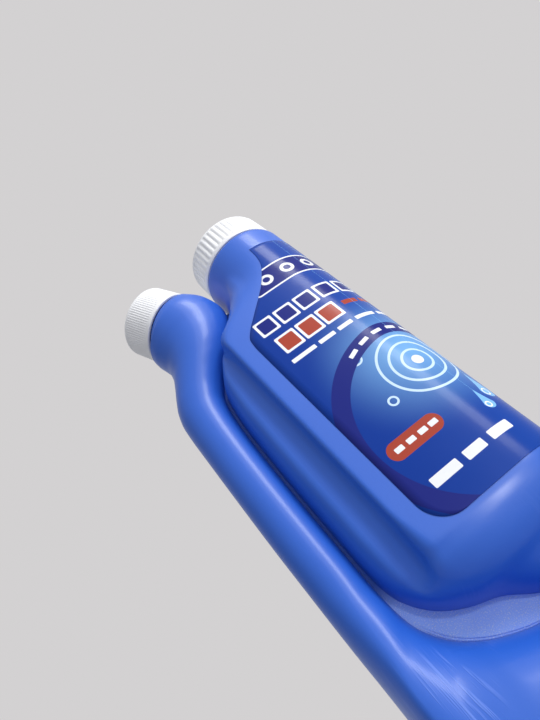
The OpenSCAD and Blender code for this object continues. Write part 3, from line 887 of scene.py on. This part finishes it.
def thread_ridge(r, z, reach, pitch, turns, inward=False):
    """A raised helix on a radius, from height z downwards."""
    bm = bmesh.new()
    out = -reach if inward else reach
    bite = 0.3 if inward else -0.3
    profile = [(r + bite, -0.9), (r + out, -0.35), (r + out, 0.35), (r + bite, 0.9)]
    verts = [bm.verts.new((x * MM, 0, (z + dz) * MM)) for x, dz in profile]
    face = bm.faces.new(verts)
    count = round(48 * turns)
    bmesh.ops.spin(bm, geom=[face], cent=(0, 0, 0), axis=(0, 0, 1), angle=2 * pi * turns,
                   dvec=(0, 0, -pitch * turns * MM / count), steps=count, use_merge=False)
    bmesh.ops.recalc_face_normals(bm, faces=bm.faces[:])
    return bm


def add_to(target, part, matrix):
    """Copies a part into a bmesh, through a matrix."""
    part.transform(matrix)
    holder = bpy.data.meshes.new("holder")
    part.to_mesh(holder)
    part.free()
    target.from_mesh(holder)
    bpy.data.meshes.remove(holder)


seat = 0.5
pitch = 4.2
big_neck_h = rim_gap + big_cap_h - cap_top_t - liner_t - lip_gap
small_neck_h = rim_gap + small_cap_h - cap_top_t - liner_t - lip_gap
on_big = Matrix.Translation((neck_x * MM, 0, shoulder_h * MM))
on_small = Matrix.Translation((small_top.x * MM, 0, small_top.y * MM))
on_small = on_small @ Matrix.Rotation(-lean, 4, "Y")

for matrix, neck_d, bore_d, height in (
    (on_big, big_neck_d, big_bore_d, big_neck_h),
    (on_small, small_neck_d, small_bore_d, small_neck_h),
):
    r = neck_d / 2
    bore = bore_d / 2
    lip = (r - bore) / 3
    low = height - lip
    mid = height - 0.3 * lip
    profile = [(bore, -seat), (r, -seat), (r, low), (r - 0.3 * lip, mid), (r - lip, height),
               (bore + lip, height), (bore + 0.3 * lip, mid), (bore, low)]
    sleeve = spun(profile, 96)
    add_to(shell, sleeve, matrix)
    add_to(shell, thread_ridge(r, height - 3, 1.0, pitch, 1.6), matrix)

add_piece("bottle_shell", shell, bottle_plastic, "bottle_body", ["bottle"])

# %% [markdown]
# The web fills the narrow gap between chamber, reservoir and tube. On the real bottle both halves of
# the mould pinch the parison flat there. Its outline is the row of near ends, sunk into the wall. Two
# thin beads run along its lower edge on each face, where the mould's edge pressed the plastic out.

# %% Web
def near_end(v):
    near = Vector((v[0], v[1]))
    far = Vector((v[2], v[3]))
    return near + 0.5 * wall * (far - near) / (far - near).length


web_top = shoulder_h - 16.5
outline = [p for p in map(near_end, section_at) if p.y < web_top]
web = bmesh.new()
web_verts = [web.verts.new((p.x * MM, -web_t / 2 * MM, p.y * MM)) for p in outline]
web_face = web.faces.new(web_verts)
grown = bmesh.ops.extrude_face_region(web, geom=[web_face], use_keep_orig=True)
bmesh.ops.translate(web, vec=(0, web_t * MM, 0),
                    verts=[g for g in grown["geom"] if isinstance(g, bmesh.types.BMVert)])
bmesh.ops.recalc_face_normals(web, faces=web.faces[:])


bead_r = 0.28
bead_start = throat_s + 1.5 * row_step
bead_end = throat_s + 15 * row_step
bead_offsets = (0.35, 1.15)


def pinch_bead(offset, side):
    """A thin bead along the reservoir, on one face of the web, tapered out at both ends."""
    rows = 120
    sides = 8
    taper = rows / 8

    def point(place, row):
        v = through(bottle_keys, mix(bead_start, bead_end, row / rows))
        near = Vector((v[0], v[1]))
        inward = (Vector((v[2], v[3])) - near).normalized()
        r = bead_r * min(1.0, min(row, rows - row) / taper)
        a = 2 * pi * place / sides
        p = near - (offset + r * cos(a)) * inward
        return p.x, side * web_t / 2 + r * sin(a), p.y

    bm = carried_grid(sides, rows, point)
    close_seams(bm)
    return bm


for side in (-1, 1):
    for offset in bead_offsets:
        add_to(web, pinch_bead(offset, side), Matrix.Identity(4))
bottle_web = add_piece("bottle_web", web, web_plastic, "bottle_body")
bottle_web.data.shade_flat()

# %% [markdown]
# A cap is a moulded cup with ribs to grip. One closed grid makes it: from the middle of the top over
# the round edge, down the ribs, round the rim, and up the inside. The ribs come from the angle.

# %% Caps
def ribbed_cap(outer_d, height, ribs, band, per_rib, depth):
    """A cap whose rim is at z = 0."""
    r = outer_d / 2
    top_r = r - 0.3
    bore = r - cap_wall
    corner = 1.8
    low = band
    high = height - corner
    profile = [(0, height), (0.5 * top_r, height), (top_r - corner - 0.3, height)]
    profile += [(top_r - corner * (1 - cos(radians(a))), height - corner * (1 - sin(radians(a))))
                for a in (90, 75, 60, 45, 30, 15, 0)]
    profile += [(mix(top_r, r, 0.08), high - 0.5), (mix(top_r, r, 0.5), mix(high, low, 0.5)),
                (mix(top_r, r, 0.9), low + 0.5), (r, low), (r, low - 0.25), (r, 0.35),
                (r - 0.1, 0.08), (r - 0.35, 0), (bore + 0.5, 0), (bore + 0.1, 0.2), (bore, 0.6),
                (bore, height - cap_top_t - 0.6), (bore - 0.2, height - cap_top_t - 0.15),
                (bore - 0.6, height - cap_top_t), (0.5 * bore, height - cap_top_t),
                (0, height - cap_top_t)]
    ribbed_rows = range(10, 13)

    def point(place, row):
        a = 2 * pi * place / (ribs * per_rib)
        cut = 0.5 + 0.5 * cos(2 * pi * place / per_rib)
        radius, z = profile[row]
        if row in ribbed_rows:
            radius -= depth * cut ** 1.5
        return radius * cos(a), radius * sin(a), z

    bm = carried_grid(ribs * per_rib, len(profile) - 1, point)
    close_seams(bm)
    return bm, bore


for name, matrix, outer_d, height, ribs, band, per_rib, depth, body in (
    ("big_cap", on_big, big_cap_d, big_cap_h, 48, 2.2, 8, 0.5, "big_cap_body"),
    ("small_cap", on_small, small_cap_d, small_cap_h, 96, 1.6, 6, 0.2, "small_cap_body"),
):
    cap, bore = ribbed_cap(outer_d, height, ribs, band, per_rib, depth)
    ridge = thread_ridge(bore, height - 4.2, 0.7, pitch, 1.5, inward=True)
    add_to(cap, ridge, Matrix.Identity(4))
    cap.transform(matrix @ Matrix.Translation((0, 0, rim_gap * MM)))
    add_piece(name + "_ribbed", cap, cap_plastic, body, [name])

# %% Liners: foam discs that the lip has printed with a shallow ring
liner_play = 0.75
dent = 0.12

for name, matrix, outer_d, neck_d, bore_d, neck_h, body in (
    ("big_cap_liner", on_big, big_cap_d, big_neck_d, big_bore_d, big_neck_h, "big_liner_body"),
    ("small_cap_liner", on_small, small_cap_d, small_neck_d, small_bore_d, small_neck_h,
     "small_liner_body"),
):
    r = outer_d / 2 - cap_wall - liner_play
    lip_out = neck_d / 2
    lip_in = bore_d / 2
    profile = [(0, 0), (lip_in - 0.4, 0), (lip_in, dent), (min(lip_out, r - 0.5), dent),
               (min(lip_out + 0.3, r - 0.25), 0.02), (r - 0.1, 0.02), (r, 0.12),
               (r, liner_t - 0.12), (r - 0.12, liner_t), (0, liner_t)]
    disc = spun(profile, 96, closed=False)
    disc.transform(matrix @ Matrix.Translation((0, 0, (neck_h + lip_gap) * MM)))
    add_piece(name + "_foam", disc, liner_foam, body, [name])

# %% [markdown]
# The label is a printed film on the front panel. Its grid lies on the panel with the skin's own rows
# and places, and it carries a flat map of itself in which one unit is 100 mm, for the print.

# %% Label film
label_rows = 110
corner_rows = 24
straight_rows = label_rows - corner_rows
label_unit = 100
label_places = steps(label_k, face_k, 10) + steps(face_k, half_n - 1, 14) + [half_n - 1]


def label_place(place, row):
    """(k, drop) of a place on the label, whose last rows crowd into the round corner."""
    corner_drop = shoulder_h - label_bottom - label_r
    if row <= straight_rows:
        return label_places[place], mix(label_drop, corner_drop, row / straight_rows)
    a = pi / 2 * (row - straight_rows) / corner_rows
    return label_places[place], corner_drop + label_r * sin(a)


def label_point(place, row):
    k, drop = label_place(place, row)
    return skin_point(through(bottle_keys, drop), k, -1, label_gap + label_t)


film = carried_grid(len(label_places) - 1, label_rows, label_point)
uv = film.loops.layers.uv.new("flat_label")
round_r = far_x - neck_x
for face in film.faces:
    for loop in face.loops:
        x, y, z = loop.vert.co / MM
        u = x - neck_x if x < neck_x else round_r * atan2(x - neck_x, -y)
        loop[uv].uv = (u / label_unit, z / label_unit)
film.normal_update()
if sum(face.normal.y for face in film.faces) > 0:
    bmesh.ops.reverse_faces(film, faces=film.faces[:])
bmesh.ops.solidify(film, geom=film.faces[:], thickness=label_t * MM)

# %% Shapes for the print
def make_block_group():
    """A block with round corners: 1 inside, 0 outside."""
    inputs = {"Centre": None, "Half size": None, "Turn": 0.0, "Corner": 0.5}
    tree, start, end = new_group("print_block", inputs, ["Mask"])
    moved = vector_step(tree, "SUBTRACT", start.outputs["Place"], start.outputs["Centre"])
    spin = add_node(tree, "ShaderNodeVectorRotate", rotation_type="Z_AXIS")
    connect(tree, moved, spin.inputs["Vector"])
    connect(tree, start.outputs["Turn"], spin.inputs["Angle"])
    size = vector_step(tree, "ABSOLUTE", spin.outputs["Vector"])
    inner = vector_step(tree, "SUBTRACT", size, start.outputs["Half size"])
    split = axes(tree, inner)
    corner = start.outputs["Corner"]
    joined = add_node(tree, "ShaderNodeCombineXYZ")
    for axis in ("X", "Y"):
        beyond = calculate(tree, "MAXIMUM", calculate(tree, "ADD", split[axis], corner))
        connect(tree, beyond, joined.inputs[axis])
    reach = vector_step(tree, "LENGTH", joined.outputs["Vector"])
    distance = calculate(tree, "SUBTRACT", reach, corner)
    connect(tree, spread(tree, distance, -0.06, 0.06, 1.0, 0.0), end.inputs["Mask"])
    return tree


def make_ring_group():
    """A ring, or a disc where the radius is 0."""
    inputs = {"Centre": None, "Radius": 5.0, "Half width": 0.5, "Soft": 0.06}
    tree, start, end = new_group("print_ring", inputs, ["Mask"])
    moved = vector_step(tree, "SUBTRACT", start.outputs["Place"], start.outputs["Centre"])
    distance = vector_step(tree, "LENGTH", moved)
    off = calculate(tree, "SUBTRACT", distance, start.outputs["Radius"])
    off = calculate(tree, "ABSOLUTE", off)
    edge = calculate(tree, "SUBTRACT", off, start.outputs["Half width"])
    inside = calculate(tree, "MULTIPLY", start.outputs["Soft"], -1.0)
    mask = spread(tree, edge, inside, start.outputs["Soft"], 1.0, 0.0)
    connect(tree, mask, end.inputs["Mask"])
    return tree


def make_drop_group():
    """A water drop: a round foot that narrows to a tip."""
    inputs = {"Centre": None, "Radius": 3.0, "Tip": 8.0}
    tree, start, end = new_group("print_drop", inputs, ["Mask"])
    moved = vector_step(tree, "SUBTRACT", start.outputs["Place"], start.outputs["Centre"])
    split = axes(tree, moved)
    above = calculate(tree, "MAXIMUM", split["Y"], 0.0)
    below = calculate(tree, "MINIMUM", split["Y"], 0.0)
    rise = calculate(tree, "DIVIDE", above, start.outputs["Tip"], clamp=True)
    narrow = calculate(tree, "SUBTRACT", 1.0, calculate(tree, "POWER", rise, 0.8))
    width = calculate(tree, "MAXIMUM", narrow, 0.02)
    joined = add_node(tree, "ShaderNodeCombineXYZ")
    connect(tree, calculate(tree, "DIVIDE", split["X"], width), joined.inputs["X"])
    connect(tree, below, joined.inputs["Y"])
    reach = vector_step(tree, "LENGTH", joined.outputs["Vector"])
    edge = calculate(tree, "SUBTRACT", reach, start.outputs["Radius"])
    connect(tree, spread(tree, edge, -0.08, 0.08, 1.0, 0.0), end.inputs["Mask"])
    return tree


block_group = make_block_group()
ring_group = make_ring_group()
drop_group = make_drop_group()

# %% [markdown]
# The print is a generic design in the colours of such a label: a deep blue field with a pale glow, a
# plain plaque, rows of plain blocks where words would be, ripples, bubbles and drops. Every shape is a
# mask from one of the three groups, laid over the colour below it.

# %% The printed film
WHITE = (0.86, 0.88, 0.9, 1)
NAVY = (0.012, 0.02, 0.2, 1)
SKY = (0.22, 0.5, 0.86, 1)
PALE = (0.6, 0.78, 0.94, 1)
BRICK = (0.4, 0.06, 0.035, 1)
FIELD_LEFT = (0.003, 0.038, 0.29, 1)
FIELD_RIGHT = (0.009, 0.06, 0.36, 1)


def make_label_film():
    material, tree, shader, place, relief = new_material("label_film", 0.24, 0.15, 0.3, 0.0001)
    chart = add_node(tree, "ShaderNodeUVMap", uv_map="flat_label").outputs["UV"]
    at = vector_step(tree, "MULTIPLY", chart, (label_unit,) * 3)

    across = spread(tree, axes(tree, at)["X"], -30.0, 24.0)
    paint = blend_colour(tree, across, FIELD_LEFT, FIELD_RIGHT)
    glow = place_group(tree, ring_group, at, Centre=(7, 110, 0), Radius=0.0, Half_width=15.0,
                       Soft=20.0)
    glowing = calculate(tree, "MULTIPLY", glow.outputs["Mask"], 0.85)
    paint = blend_colour(tree, glowing, paint, SKY)

    def block(under, colour, x, z, half_w, half_h, turn=0.0, corner=0.6):
        node = place_group(tree, block_group, at, Centre=(x, z, 0),
                           Half_size=(half_w, half_h, 0), Turn=radians(-turn), Corner=corner)
        return blend_colour(tree, node.outputs["Mask"], under, colour)

    def circle(under, colour, x, z, radius, half_width):
        node = place_group(tree, ring_group, at, Centre=(x, z, 0), Radius=radius,
                           Half_width=half_width)
        return blend_colour(tree, node.outputs["Mask"], under, colour)

    def drop(under, colour, x, z, radius, tip):
        node = place_group(tree, drop_group, at, Centre=(x, z, 0), Radius=radius, Tip=tip)
        return blend_colour(tree, node.outputs["Mask"], under, colour)

    paint = block(paint, WHITE, 3, 171, 18.6, 6.4, corner=2.4)
    paint = block(paint, NAVY, 3, 171, 17.8, 5.6, corner=1.8)
    for x in (-7, 3, 13):
        paint = circle(paint, WHITE, x, 171, 2.2, 0.7)
    for x in (-21, -12, -3, 6, 15):
        paint = block(paint, WHITE, x, 151, 3.9, 4.0)
        paint = block(paint, NAVY, x, 151, 2.9, 3.0)
    for x in (-19, -10, -1):
        paint = block(paint, WHITE, x, 139.6, 4.1, 4.3)
        paint = block(paint, BRICK, x, 139.6, 3.1, 3.3)
    for x, half_w in ((9, 3.4), (16.5, 2.6)):
        paint = block(paint, BRICK, x, 140.6, half_w, 1.2, corner=0.3)
    for x, half_w in ((-19, 5), (-9, 3.4), (-1, 3), (8, 4.2), (17, 3)):
        paint = block(paint, WHITE, x, 131.2, half_w, 0.9, corner=0.3)

    for radius in (5, 9, 13):
        paint = circle(paint, PALE, 6, 104, radius, 0.45)
    paint = circle(paint, WHITE, 6, 104, 0, 2.0)
    bubbles = ((-9, 117, 2.2), (-4, 121.5, 1.3), (21, 116, 1.8), (17, 121, 1.1), (-11, 97, 1.5))
    for x, z, radius in bubbles:
        paint = circle(paint, PALE, x, z, radius, 0.35)

    arch_x, arch_z, arch_r = 6, 86, 36
    paint = circle(paint, NAVY, arch_x, arch_z, arch_r, 3.0)
    for angle in (62, 72, 82, 92, 102, 112):
        x = arch_x + arch_r * cos(radians(angle))
        z = arch_z + arch_r * sin(radians(angle))
        paint = block(paint, WHITE, x, z, 2.0, 0.8, turn=angle - 90, corner=0.3)

    for x, z, radius, tip in ((16, 84, 3.2, 9), (23, 80, 2.4, 7), (10, 79, 2.2, 6.5)):
        paint = drop(paint, SKY, x, z, radius, tip)
        paint = circle(paint, WHITE, x - 0.3 * radius, z - 0.2 * radius, 0.45 * radius, 0.25)
    paint = block(paint, BRICK, -15, 84, 10, 3.2, corner=3.2)
    for x in (-21, -16.5, -12, -8):
        paint = block(paint, WHITE, x, 84, 1.5, 0.9, corner=0.3)
    for x, half_w in ((-17, 5.0), (-6, 3.6), (4, 4.0)):
        paint = block(paint, WHITE, x, 70.5, half_w, 1.6, corner=0.4)
    connect(tree, paint, shader.inputs["Base Color"])

    wave = noise(tree, place, 60, 2)
    fleck = noise(tree, place, 1600, 2)
    connect(tree, calculate(tree, "MULTIPLY_ADD", fleck, 0.15, wave), relief.inputs["Height"])
    rough = calculate(tree, "MULTIPLY_ADD", wave, 0.1, 0.18)
    connect(tree, rough, shader.inputs["Roughness"])
    return material


label_film = make_label_film()
add_piece("printed_label", film, label_film, "bottle_body", ["front_label"])
print("print uses", len(label_film.node_tree.nodes), "nodes")
